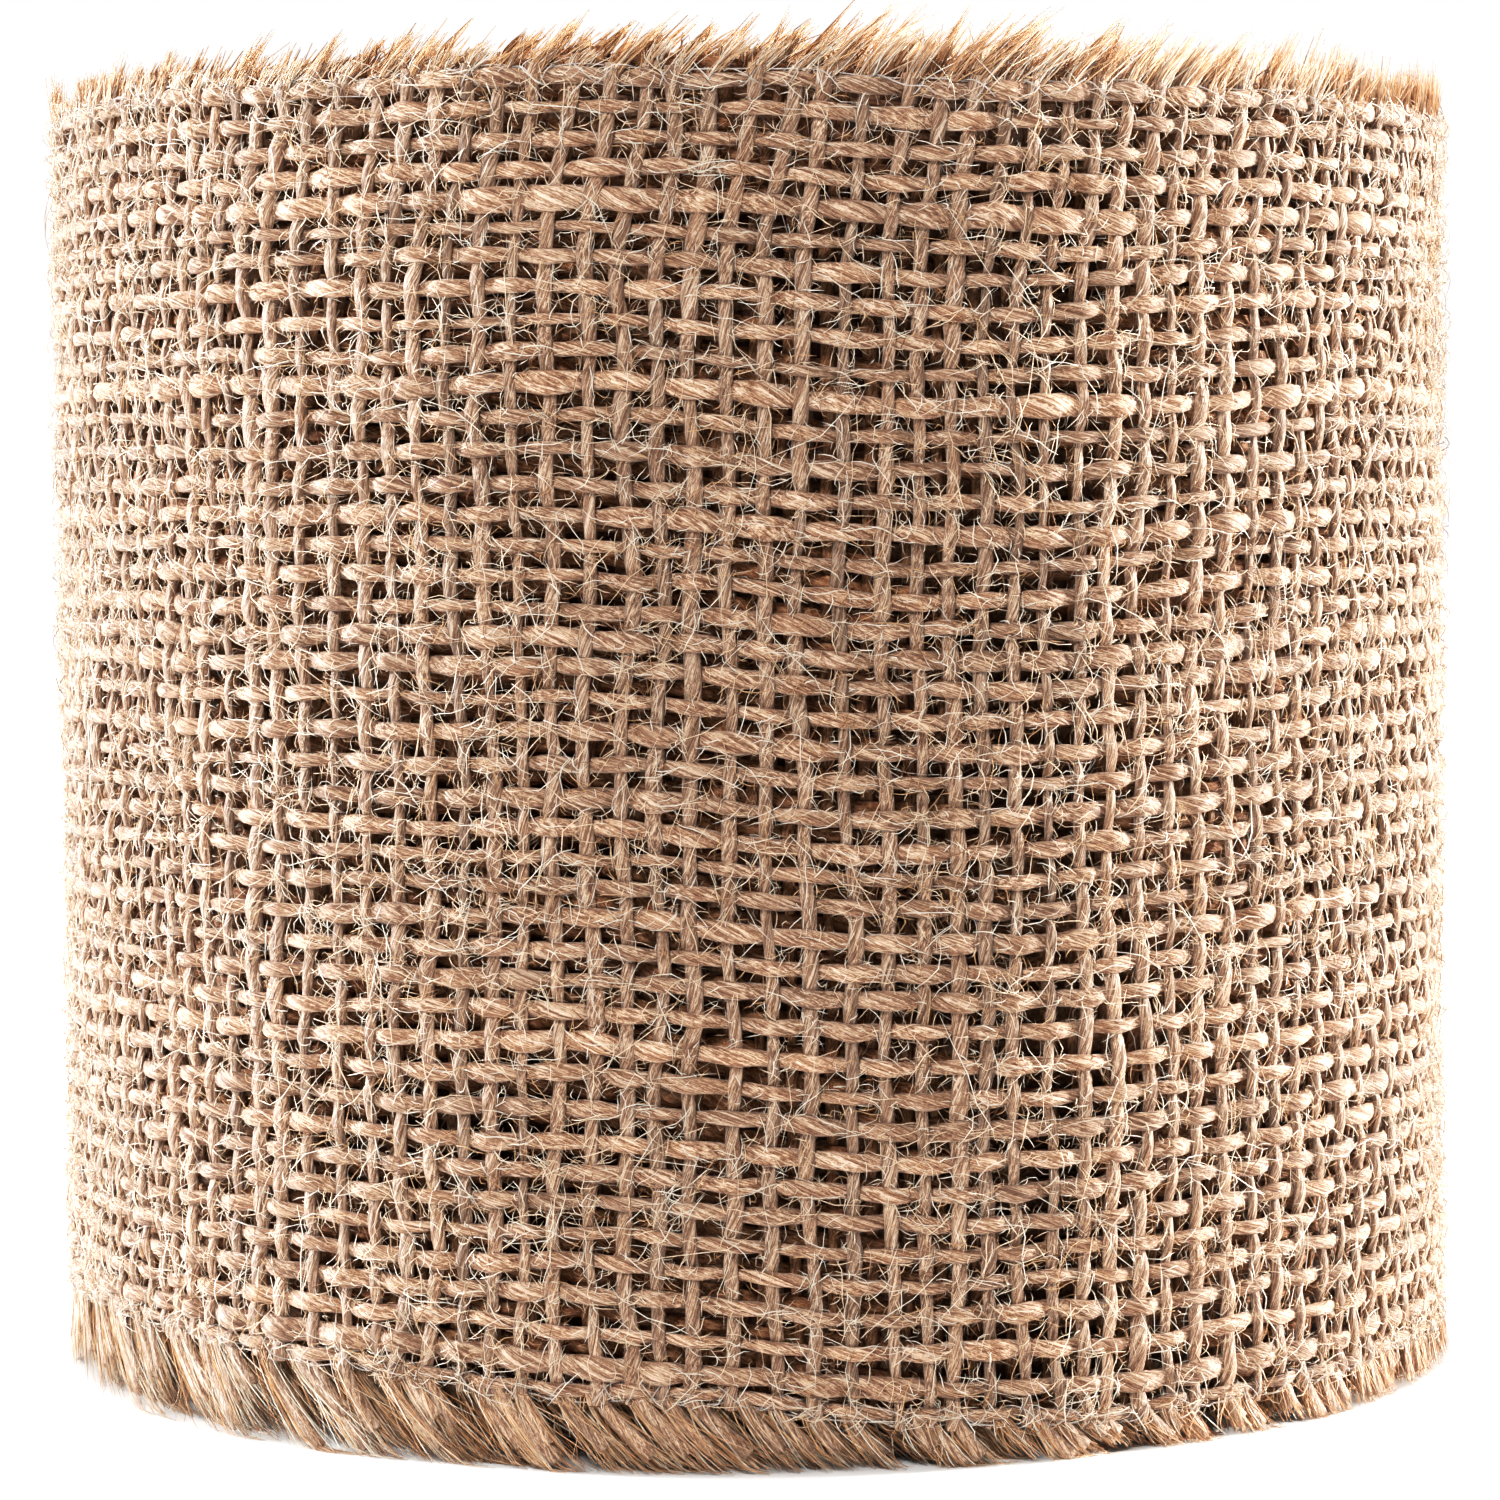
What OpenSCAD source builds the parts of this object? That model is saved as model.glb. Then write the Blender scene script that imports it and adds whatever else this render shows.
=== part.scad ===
// Roll of natural jute ribbon wound on a cardboard core and standing on its end.
// The core's axis is +Z through the origin and the surface it stands on is z = 0.
// The loose end, held by a strip of clear tape, is on the +Y side.

/* [Ribbon] */
// Width of the ribbon from fringe tip to fringe tip
ribbon_w = 100; // [60:5:150]
// Length of the frayed weft ends above the upper edge
top_fringe_h = 4; // [2:0.5:10]
// Length of the frayed weft ends below the lower edge
bottom_fringe_h = 4.8; // [2:0.4:10]
// Height of the binding thread's band along each edge
binding_h = 0.8; // [0.4:0.1:2]
// Thickness of the woven cloth
cloth_t = 1.3; // [0.8:0.1:1.3]
// Thickness of the band that the frayed ends fill
fringe_t = 1.1; // [0.6:0.1:1.3]
// Growth of the radius with each turn
turn_pitch = 1.6; // [1.6:0.1:2]
// Full turns of ribbon on the core
turns = 21; // [8:1:30]

/* [Core] */
// Bore of the cardboard core
core_bore_d = 38; // [25:1:76]
// Thickness of each of the core's three plies
ply_t = 0.4; // [0.3:0.1:1]
// Thickness of the double-sided tape that holds the ribbon's start
start_tape_t = 0.2; // [0.1:0.05:0.3]
// Height of that tape
start_tape_h = 50; // [20:5:55]
// Part of the turn that it covers, in degrees
start_tape_span = 60; // [30:5:120]

/* [Loose end] */
// Direction of the line where the loose end lifts from the roll, in degrees
tail_start = 55; // [40:1:60]
// Direction of the ribbon's cut end
tail_end = 100; // [95:1:110]
// Clearance at the line where the loose end lifts
hinge_gap = 0.3; // [0.2:0.05:0.5]

/* [Closing tape] */
// Width of the clear tape
tape_w = 19; // [12:1:25]
// Thickness of the clear tape
tape_t = 0.15; // [0.1:0.05:0.3]
// Direction where the tape starts on the loose end, in degrees
tape_start = 85; // [75:1:90]
// Direction where it ends on the turn below
tape_end = 125; // [118:1:140]
// Height at which the cloth's yarns hold the tape off the surface
tape_lift = 0.3; // [0.3:0.05:0.5]

/* [Hidden] */
$fn = 180;

jute = "#c8a57d";
frayed_jute = "#dcab72";
binding_grey = "#cfc6cf";
cardboard = "#b08a5e";
tape_clear = "#e8e4d8";

bore_r = core_bore_d / 2;
core_r = bore_r + 3 * ply_t;
first_turn_r = core_r + start_tape_t;
last_half_turn = 2 * turns;
tail_r = winding_r(last_half_turn);
below_r = winding_r(last_half_turn - 2) + cloth_t;

bottom_binding_z = bottom_fringe_h;
cloth_z = bottom_binding_z + binding_h;
top_fringe_z = ribbon_w - top_fringe_h;
top_binding_z = top_fringe_z - binding_h;
cloth_h = top_binding_z - cloth_z;
tape_z = (ribbon_w - tape_w) / 2;

hinge_gap_span = hinge_gap / tail_r * 180 / PI;

over_r = tail_r + cloth_t + tape_lift;
down_r = below_r + tape_lift;
// Turn over which the tape steps down past the ribbon's cut end, in degrees
tape_step_span = 4;
tape_segments = 40;

// Inner radius of a half-turn, counted from 0 at the core
function winding_r(half_turn) = first_turn_r + half_turn * turn_pitch / 2;

// Every second half-turn is centred half a pitch along +X, so that each one meets the next in a smooth line
function winding_x(half_turn) = half_turn % 2 == 0 ? 0 : turn_pitch / 2;

// Part of a ring from direction a0 to a1, in degrees
module arc_band(r, t, z, h, a0, a1) {
    translate([0, 0, z])
        rotate([0, 0, a0])
            rotate_extrude(angle = a1 - a0)
                translate([r, 0])
                    square([t, h]);
}

// One half-turn of the ribbon, t thick and centred in the cloth's thickness
module half_turn_band(half_turn, t, z, h, span = 180) {
    a0 = half_turn % 2 == 0 ? 0 : 180;
    translate([winding_x(half_turn), 0, 0])
        arc_band(winding_r(half_turn) + (cloth_t - t) / 2, t, z, h, a0, a0 + span);
}

// The whole spiral, from the core to the line where the loose end starts
module wound_band(t, z, h) {
    for (half_turn = [0 : last_half_turn - 1])
        half_turn_band(half_turn, t, z, h);
    half_turn_band(last_half_turn, t, z, h, tail_start);
}

// The loose end's part of the same spiral
module tail_band(t, z, h) {
    arc_band(tail_r + (cloth_t - t) / 2, t, z, h, tail_start + hinge_gap_span, tail_end);
}

module core_ply(index) {
    inner_r = bore_r + index * ply_t;
    difference() {
        cylinder(r = inner_r + ply_t, h = ribbon_w);
        translate([0, 0, -1])
            cylinder(r = inner_r, h = ribbon_w + 2);
    }
}

module core_inner_ply() {
    color(cardboard)
        core_ply(0);
}

module core_middle_ply() {
    color(cardboard)
        core_ply(1);
}

module core_outer_ply() {
    color(cardboard)
        core_ply(2);
}

module start_tape() {
    color(tape_clear)
        arc_band(core_r, start_tape_t, (ribbon_w - start_tape_h) / 2, start_tape_h, 0, start_tape_span);
}

module ribbon_windings() {
    color(jute)
        wound_band(cloth_t, cloth_z, cloth_h);
}

module top_binding_thread() {
    color(binding_grey)
        wound_band(cloth_t, top_binding_z, binding_h);
}

module bottom_binding_thread() {
    color(binding_grey)
        wound_band(cloth_t, bottom_binding_z, binding_h);
}

module top_fringe() {
    color(frayed_jute)
        wound_band(fringe_t, top_fringe_z, top_fringe_h);
}

module bottom_fringe() {
    color(frayed_jute)
        wound_band(fringe_t, 0, bottom_fringe_h);
}

module ribbon_tail() {
    color(jute)
        tail_band(cloth_t, cloth_z, cloth_h);
}

module tail_top_binding() {
    color(binding_grey)
        tail_band(cloth_t, top_binding_z, binding_h);
}

module tail_bottom_binding() {
    color(binding_grey)
        tail_band(cloth_t, bottom_binding_z, binding_h);
}

module tail_top_fringe() {
    color(frayed_jute)
        tail_band(fringe_t, top_fringe_z, top_fringe_h);
}

module tail_bottom_fringe() {
    color(frayed_jute)
        tail_band(fringe_t, 0, bottom_fringe_h);
}

// Share of the step that the tape has gone down at a direction
function tape_drop(a) = min(1, max(0, (a - tail_end) / tape_step_span));
function tape_r(a) = over_r + (down_r - over_r) * tape_drop(a);
function tape_direction(i) = tape_start + (tape_end - tape_start) * i / tape_segments;
function polar(r, a) = [r * cos(a), r * sin(a)];

// The tape lies over the ribbon's cut end and steps down to the turn below it
module end_tape() {
    inner = [for (i = [0 : tape_segments]) polar(tape_r(tape_direction(i)), tape_direction(i))];
    outer = [for (i = [tape_segments : -1 : 0]) polar(tape_r(tape_direction(i)) + tape_t, tape_direction(i))];
    color(tape_clear)
        translate([0, 0, tape_z])
            linear_extrude(tape_w)
                polygon(concat(inner, outer));
}

core_inner_ply();
core_middle_ply();
core_outer_ply();
start_tape();
ribbon_windings();
top_binding_thread();
bottom_binding_thread();
top_fringe();
bottom_fringe();
ribbon_tail();
tail_top_binding();
tail_bottom_binding();
tail_top_fringe();
tail_bottom_fringe();
end_tape();
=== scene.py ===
"""A roll of natural jute ribbon standing on its end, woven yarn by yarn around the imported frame."""
import math
from collections import namedtuple

import bpy
import numpy as np
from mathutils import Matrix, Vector


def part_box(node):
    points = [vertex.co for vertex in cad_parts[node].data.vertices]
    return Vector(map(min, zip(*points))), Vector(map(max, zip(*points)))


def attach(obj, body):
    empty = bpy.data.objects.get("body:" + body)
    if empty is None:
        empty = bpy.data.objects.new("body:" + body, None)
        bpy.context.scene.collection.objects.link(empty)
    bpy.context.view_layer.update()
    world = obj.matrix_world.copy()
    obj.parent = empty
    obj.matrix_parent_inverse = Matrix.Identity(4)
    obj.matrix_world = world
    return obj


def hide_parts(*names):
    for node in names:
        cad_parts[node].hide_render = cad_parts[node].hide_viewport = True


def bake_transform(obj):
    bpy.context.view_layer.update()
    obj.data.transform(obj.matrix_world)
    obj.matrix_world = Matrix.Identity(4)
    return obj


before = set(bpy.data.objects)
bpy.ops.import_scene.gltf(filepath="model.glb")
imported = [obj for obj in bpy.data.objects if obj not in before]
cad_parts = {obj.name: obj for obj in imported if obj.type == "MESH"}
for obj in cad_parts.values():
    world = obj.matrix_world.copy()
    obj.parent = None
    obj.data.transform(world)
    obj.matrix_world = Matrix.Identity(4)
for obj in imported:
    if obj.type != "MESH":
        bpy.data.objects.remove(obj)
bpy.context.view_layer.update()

# ---------------------------------------------------------------- sizes, in millimetres and degrees
MM = 0.001
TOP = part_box("top_fringe")[1].z / MM
FIRST_TURN_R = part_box("start_tape")[1].x / MM
CLOTH_T = 1.3
TURN_PITCH = 1.6
HALF_TURNS = 42
FULL_TURN = 360
LAST_HALF_TURN = HALF_TURNS * 180            # the places below are degrees along the whole winding
TAIL_TURN = LAST_HALF_TURN + 55              # where the loose end bends away
END_TURN = LAST_HALF_TURN + 100              # the ribbon's cut end
FRONT_TURN = LAST_HALF_TURN - 90             # the middle of the front, on the outer turn
OUTER_START = END_TURN - FULL_TURN - 55      # the outer turn begins a little below the loose end
WOVEN_START = OUTER_START - FULL_TURN        # the turn below it is woven too, in less detail

WEFT_GAP = 2.69                              # turn between crosswise yarns, in degrees
ROWS = 43                                    # lengthwise yarns
FIRST_ROW, LAST_ROW = 4.9, 96.7              # heights of the lowest and the highest of them
ROW_GAP = (LAST_ROW - FIRST_ROW) / (ROWS - 1)
INNER_GAP = 2.54                             # length between crosswise yarns where they aren't woven in full
UNDER_TAPE = OUTER_START + 65                # the middle of what the closing tape covers below the cut end

SEED = 20
rng = np.random.default_rng(SEED)


# ---------------------------------------------------------------- the spiral
def turn_radius(turn):
    """Radius of the cloth's middle surface, about the centre of the half-turn that it lies in."""
    return FIRST_TURN_R + CLOTH_T / 2 + np.floor(turn / 180) * TURN_PITCH / 2


def spiral(turn, out, z):
    """Points on the wound ribbon: degrees from its start on the core, height off its middle, height."""
    centre = np.where(np.floor(turn / 180) % 2 == 1, TURN_PITCH / 2, 0.0)
    r = turn_radius(turn) + out
    a = np.radians(turn % 360)
    return np.stack([centre + r * np.cos(a), r * np.sin(a), np.broadcast_to(z, r.shape)], -1)


def outward(turn):
    a = np.radians(turn)
    return np.stack([np.cos(a), np.sin(a), np.zeros_like(a)], -1)


def from_front(turn):
    """Degrees from the middle of the front, positive to its right."""
    return (turn - FRONT_TURN + 180) % 360 - 180


def smooth(a, times, axis):
    """a with each value moved towards its neighbours along an axis, that many times."""
    a = np.moveaxis(a, axis, 0).astype(float)
    for _ in range(times):
        p = np.concatenate([a[:1], a, a[-1:]])
        a = (p[:-2] + 2 * p[1:-1] + p[2:]) / 4
    return np.moveaxis(a, 0, axis)


def drift(shape, spread, along=0, across=0):
    """Random values that change slowly along one or both axes, with a given standard deviation."""
    a = smooth(smooth(rng.normal(size=shape), along, -1), across, 0)
    return spread * a / a.std()


# ---------------------------------------------------------------- meshes
def unit(v):
    return v / np.maximum(np.linalg.norm(v, axis=-1, keepdims=True), 1e-12)


class Pile:
    """Closed tubes collected into one mesh, with the values and the map that their materials read."""

    def __init__(self):
        self.verts, self.quads, self.caps, self.quad_mats, self.cap_mats = [], [], [], [], []
        self.fibre, self.tone, self.strips = [], [], []
        self.count = 0

    def tubes(self, path, up, wide, high, sides, twist=0.0, tone=0.5, lobes=0.0, mat=0):
        """Sweep an ellipse along each path (tubes, rings, 3), in mm: high along up, wide across it."""
        n, rings = path.shape[:2]
        along = unit(np.gradient(path, axis=1))
        up = unit(up - (up * along).sum(-1, keepdims=True) * along)
        side = np.cross(along, up)
        steps = np.linalg.norm(np.diff(path, axis=1), axis=-1)
        length = np.concatenate([np.zeros((n, 1)), np.cumsum(steps, axis=1)], 1)
        turn = np.linspace(0, 2 * math.pi, sides, endpoint=False)
        spin = turn[None, None] - twist * length[..., None]
        shape = 1 + lobes * (0.6 * np.cos(3 * spin) + 0.4 * np.cos(5 * spin + 1.0))
        w = np.broadcast_to(wide, (n, rings))[..., None] * shape * np.cos(turn)
        h = np.broadcast_to(high, (n, rings))[..., None] * shape * np.sin(turn)
        ring = path[:, :, None] + w[..., None] * side[:, :, None] + h[..., None] * up[:, :, None]
        base = self.count + (np.arange(n) * rings * sides)[:, None, None]
        k = np.arange(rings - 1)[None, :, None] * sides
        s = np.arange(sides)[None, None, :]
        t = (s + 1) % sides
        quad = np.stack([base + k + s, base + k + t, base + k + sides + t, base + k + sides + s], -1)
        first = base[:, 0] + np.arange(sides)[::-1]
        last = base[:, 0] + (rings - 1) * sides + np.arange(sides)
        mat = np.broadcast_to(mat, (n,))
        self.verts.append(ring.reshape(-1, 3))
        self.quads.append(quad.reshape(-1, 4))
        self.caps.append(np.concatenate([first, last]))
        self.quad_mats.append(np.repeat(mat, (rings - 1) * sides))
        self.cap_mats.append(np.concatenate([mat, mat]))
        fibre = np.stack([np.cos(spin), np.sin(spin), length[..., None] + 0 * spin], -1)
        self.fibre.append(fibre.reshape(-1, 3))
        self.tone.append(np.repeat(np.broadcast_to(tone, (n, rings)).reshape(-1), sides))
        girth = float(np.mean(wide) * 6)
        self.strips.append((n, rings, sides, float(length[:, -1].mean()), girth))
        self.count += n * rings * sides

    def map(self):
        """A UV place for each corner: every tube is one strip, and the strips fill the square in columns."""
        total = sum(n for n, *_ in self.strips)
        length = sum(n * long for n, _, _, long, _ in self.strips) / total
        round_it = sum(n * girth for n, *_, girth in self.strips) / total
        columns = max(1, round(math.sqrt(total * round_it / length)))
        per_column = math.ceil(total / columns)
        corner_along = np.array([0, 0, 1, 1])
        corner_round = np.array([0, 1, 1, 0])
        margin = 0.04
        quads, caps, start = [], [], 0
        for n, rings, sides, _, _ in self.strips:
            strip = start + np.arange(n)
            left, low = (strip // per_column) / columns, (strip % per_column) / per_column
            k = np.arange(rings - 1)[:, None, None]
            s = np.arange(sides)[None, :, None]
            u = margin + (1 - 2 * margin) * (k + corner_along) / (rings - 1) + 0 * s
            v = margin + (1 - 2 * margin) * (s + corner_round) / sides + 0 * k
            place = np.stack([left[:, None, None, None] + u / columns,
                              low[:, None, None, None] + v / per_column], -1)
            quads.append(place.reshape(-1, 2))
            ends = np.concatenate([np.stack([left + e / columns, low + 0.5 / per_column], -1)
                                   for e in (margin, 1 - margin)])
            caps.append(np.repeat(ends, sides, axis=0))
            start += n
        return np.concatenate(quads + caps)

    def build(self, name, materials):
        polys = self.quads + self.caps
        sizes = np.concatenate([np.full(len(p), p.shape[1]) for p in polys])
        loops = np.concatenate([p.reshape(-1) for p in polys])
        mesh = bpy.data.meshes.new(name)
        mesh.vertices.add(self.count)
        mesh.vertices.foreach_set("co", (np.concatenate(self.verts) * MM).astype(np.float32).ravel())
        mesh.loops.add(len(loops))
        mesh.loops.foreach_set("vertex_index", loops.astype(np.int32))
        mesh.polygons.add(len(sizes))
        mesh.polygons.foreach_set("loop_start", (np.cumsum(sizes) - sizes).astype(np.int32))
        index = np.concatenate(self.quad_mats + self.cap_mats)
        mesh.polygons.foreach_set("material_index", index.astype(np.int32))
        mesh.update(calc_edges=True)
        mesh.polygons.foreach_set("use_smooth", np.ones(len(sizes), bool))
        fibre = mesh.attributes.new("fibre", "FLOAT_VECTOR", "POINT")
        fibre.data.foreach_set("vector", np.concatenate(self.fibre).astype(np.float32).ravel())
        tone = mesh.attributes.new("tone", "FLOAT", "POINT")
        tone.data.foreach_set("value", np.concatenate(self.tone).astype(np.float32))
        layer = mesh.uv_layers.new(name="OFBake")
        layer.data.foreach_set("uv", self.map().astype(np.float32).ravel())
        for m in materials:
            mesh.materials.append(m)
        mesh.update()
        obj = bpy.data.objects.new(name, mesh)
        bpy.context.scene.collection.objects.link(obj)
        return obj


# ---------------------------------------------------------------- materials
class Nodes:
    """A short way to write a node material."""

    def __init__(self, name):
        self.mat = bpy.data.materials.new(name)
        self.mat.use_nodes = True
        self.tree = self.mat.node_tree
        self.shader = self.tree.nodes["Principled BSDF"]

    def add(self, kind, inputs=None, **settings):
        node = self.tree.nodes.new("ShaderNode" + kind)
        for key, value in settings.items():
            setattr(node, key, value)
        for key, value in (inputs or {}).items():
            self.put(node, key, value)
        return node

    def put(self, node, key, value):
        if isinstance(value, bpy.types.NodeSocket):
            self.tree.links.new(value, node.inputs[key])
        else:
            node.inputs[key].default_value = value

    def math(self, operation, a, b=0.0):
        return self.add("Math", {0: a, 1: b}, operation=operation).outputs[0]

    def scaled(self, vector, scale):
        return self.add("VectorMath", {0: vector, 1: scale}, operation="MULTIPLY").outputs[0]

    def mix(self, share, a, b, blend="MIX"):
        return self.add("Mix", {0: share, 6: a, 7: b}, data_type="RGBA", blend_type=blend).outputs[2]

    def between(self, value, low, high):
        return self.add("MapRange", {"Value": value, "To Min": low, "To Max": high}).outputs[0]

    def ramp(self, fac, stops):
        node = self.add("ValToRGB", {0: fac})
        while len(node.color_ramp.elements) < len(stops):
            node.color_ramp.elements.new(0.5)
        for element, (at, colour) in zip(node.color_ramp.elements, stops):
            element.position = at
            element.color = (*colour, 1)
        return node.outputs[0]

    def noise(self, vector, scale, detail=2.0, rough=0.5, distortion=0.0):
        return self.add("TexNoise", {"Vector": vector, "Scale": scale, "Detail": detail,
                                     "Roughness": rough, "Distortion": distortion}).outputs["Fac"]

    def finish(self, colour, rough, height=None, bump_mm=0.05, **sockets):
        self.put(self.shader, "Base Color", colour)
        self.put(self.shader, "Roughness", rough)
        if height is not None:
            bump = self.add("Bump", {"Height": height, "Strength": 1.0, "Distance": bump_mm * MM})
            self.put(self.shader, "Normal", bump.outputs[0])
        for key, value in sockets.items():
            self.put(self.shader, key.replace("_", " "), value)
        return self.mat


def yarn_material(name, dark, middle, pale, gloss=0.5, sheen=0.2):
    """Twisted jute: streaks of fibre round the yarn, slow changes along it, and the yarn's own tone."""
    amber = (0.86, 0.58, 0.33, 1)
    m = Nodes(name)
    fibre = m.add("Attribute", attribute_name="fibre").outputs["Vector"]
    tone = m.add("Attribute", attribute_name="tone").outputs["Fac"]
    shift = m.add("CombineXYZ", {2: m.math("MULTIPLY", tone, 37.0)}).outputs[0]
    place = m.add("VectorMath", {0: fibre, 1: shift}, operation="ADD").outputs[0]
    strand = m.noise(m.scaled(place, (3.0, 3.0, 0.36)), 1.0, 3.0, 0.6, 0.1)
    hair = m.noise(m.scaled(place, (8.0, 8.0, 0.7)), 1.0, 2.0, 0.6)
    slow = m.noise(place, 0.25, 2.0, 0.5)
    relief = m.math("ADD", m.math("MULTIPLY", strand, 0.55), m.math("MULTIPLY", hair, 0.45))
    streak = m.ramp(relief, [(0.38, dark), (0.49, middle), (0.62, pale)])
    warm = m.mix(m.math("MULTIPLY", slow, 0.5), streak, amber, "MULTIPLY")
    level = m.between(tone, 0.74, 1.22)
    lit = m.add("VectorMath", {0: warm, "Scale": level}, operation="SCALE").outputs[0]
    return m.finish(lit, m.between(hair, 0.38, 0.75), relief, 0.2,
                    Sheen_Weight=sheen, Sheen_Roughness=0.4, Specular_IOR_Level=gloss)


def fibre_material(name, colour, rough=0.42, gloss=0.6):
    """Single loose fibres, whose tone changes along them."""
    m = Nodes(name)
    fibre = m.add("Attribute", attribute_name="fibre").outputs["Vector"]
    mottle = m.noise(m.scaled(fibre, (0.4, 0.4, 1.0)), 1.3, 2.0, 0.5)
    pale = tuple(min(1.0, c * 1.18) for c in colour)
    dark = tuple(c * 0.75 for c in colour)
    return m.finish(m.ramp(mottle, [(0.35, dark), (0.65, pale)]), rough,
                    Specular_IOR_Level=gloss, Sheen_Weight=0.1)


def board_material(name, colour, lead):
    """Kraft board wound in a helix, with a seam each lead and fine grain."""
    m = Nodes(name)
    place = m.add("TexCoord").outputs["Object"]
    xyz = m.add("SeparateXYZ", {0: place}).outputs
    angle = m.math("DIVIDE", m.math("ARCTAN2", xyz[1], xyz[0]), 2 * math.pi)
    strip = m.math("FRACT", m.math("ADD", angle, m.math("DIVIDE", xyz[2], lead * MM)))
    seam = m.math("LESS_THAN", m.math("ABSOLUTE", m.math("SUBTRACT", strip, 0.5)), 0.012)
    grain = m.noise(m.scaled(place, (1, 1, 4)), 900, 4, 0.6)
    blotch = m.noise(place, 60, 3, 0.55)
    base = m.mix(grain, tuple(0.72 * c for c in colour) + (1,), tuple(1.12 * c for c in colour) + (1,))
    spread = m.mix(m.math("MULTIPLY", blotch, 0.4), base, (0.62, 0.47, 0.33, 1), "MULTIPLY")
    shade = m.mix(m.math("MULTIPLY", seam, 0.55), spread, (0.12, 0.08, 0.05, 1))
    height = m.math("SUBTRACT", grain, m.math("MULTIPLY", seam, 1.5))
    return m.finish(shade, m.between(grain, 0.75, 0.95), height, 0.05)


def paper_material(name):
    m = Nodes(name)
    place = m.add("TexCoord").outputs["Object"]
    crepe = m.noise(m.scaled(place, (1, 1, 6)), 500, 3, 0.6)
    colour = m.ramp(crepe, [(0.3, (0.62, 0.55, 0.42)), (0.7, (0.78, 0.72, 0.60))])
    return m.finish(colour, m.between(crepe, 0.7, 0.9), crepe, 0.04)


def tape_material(name):
    """Clear film with faint smears of adhesive under it."""
    m = Nodes(name)
    place = m.add("TexCoord").outputs["Object"]
    smear = m.noise(m.scaled(place, (1, 1, 3)), 160, 3, 0.6, 0.4)
    colour = m.ramp(smear, [(0.35, (0.86, 0.83, 0.76)), (0.65, (0.96, 0.95, 0.92))])
    return m.finish(colour, m.between(smear, 0.08, 0.3), smear, 0.03, Alpha=0.05, Coat_Weight=0.2,
                    Specular_IOR_Level=0.6)


def cloth_material():
    """The weave of the turns below: yarns one over one, drawn on the band's faces, darker than the outer
    turn's yarns and with near-black gaps, both painted shade.
    """
    m = Nodes("jute_inner_cloth_painted_shade")
    place = m.add("Attribute", attribute_name="cloth").outputs["Vector"]
    xyz = m.add("SeparateXYZ", {0: place}).outputs
    wobble = m.noise(place, 0.35, 2, 0.5)
    u = m.math("DIVIDE", m.math("ADD", xyz[0], wobble), INNER_GAP)
    v = m.math("DIVIDE", m.math("ADD", xyz[1], wobble), ROW_GAP)
    across = m.math("ABSOLUTE", m.math("SUBTRACT", m.math("FRACT", u), 0.5))
    upward = m.math("ABSOLUTE", m.math("SUBTRACT", m.math("FRACT", v), 0.5))
    yarn = m.math("MAXIMUM", m.math("LESS_THAN", across, 0.2), m.math("LESS_THAN", upward, 0.25))
    streak = m.noise(place, 3.2, 4, 0.65)
    # yarn tones darker than the outer yarns: painted shade of the inner turns
    tone = m.ramp(streak, [(0.3, (0.14, 0.055, 0.024)), (0.5, (0.27, 0.135, 0.064)),
                           (0.68, (0.42, 0.25, 0.145))])
    # near-black gaps between the yarns: painted shade
    painted_gap_shade = (0.080, 0.024, 0.008, 1)
    colour = m.mix(yarn, painted_gap_shade, tone)
    height = m.math("ADD", m.math("MULTIPLY", yarn, 0.7), m.math("MULTIPLY", streak, 0.5))
    return m.finish(colour, m.between(streak, 0.7, 0.95), height, 0.25, Sheen_Weight=0.2)


def thread_material(name):
    """Fine pale grey thread with a tight twist."""
    m = Nodes(name)
    fibre = m.add("Attribute", attribute_name="fibre").outputs["Vector"]
    strand = m.noise(m.scaled(fibre, (2.0, 2.0, 1.5)), 1.0, 2.0, 0.5)
    colour = m.ramp(strand, [(0.35, (0.35, 0.295, 0.26)), (0.62, (0.67, 0.60, 0.545))])
    return m.finish(colour, m.between(strand, 0.45, 0.7), strand, 0.02, Sheen_Weight=0.3)


# Warp yarns run lengthwise and weft yarns crosswise; those below belong to the turn under the outer one, and
# are darker, less glossy copies of the same yarns: painted shade
WARP = yarn_material("jute_warp_yarn", (0.130, 0.047, 0.019), (0.345, 0.198, 0.116), (0.91, 0.72, 0.57))
WEFT = yarn_material("jute_weft_yarn", (0.117, 0.046, 0.021), (0.300, 0.183, 0.116), (0.81, 0.65, 0.52))
WARP_SHADED = yarn_material("jute_warp_painted_shade", (0.140, 0.042, 0.015), (0.300, 0.137, 0.065),
                           (0.51, 0.31, 0.18), gloss=0.2, sheen=0)
WEFT_SHADED = yarn_material("jute_weft_painted_shade", (0.122, 0.040, 0.015), (0.270, 0.130, 0.064),
                           (0.46, 0.29, 0.17), gloss=0.2, sheen=0)
TUFT = [fibre_material("frayed_fibre_golden", (0.69, 0.405, 0.22), 0.6, 0.3),
        fibre_material("frayed_fibre_straw", (0.80, 0.585, 0.41), 0.6, 0.3),
        fibre_material("frayed_fibre_pale", (0.92, 0.80, 0.68), 0.55, 0.4),
        fibre_material("frayed_fibre_brown", (0.38, 0.19, 0.09), 0.6, 0.3)]
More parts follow.
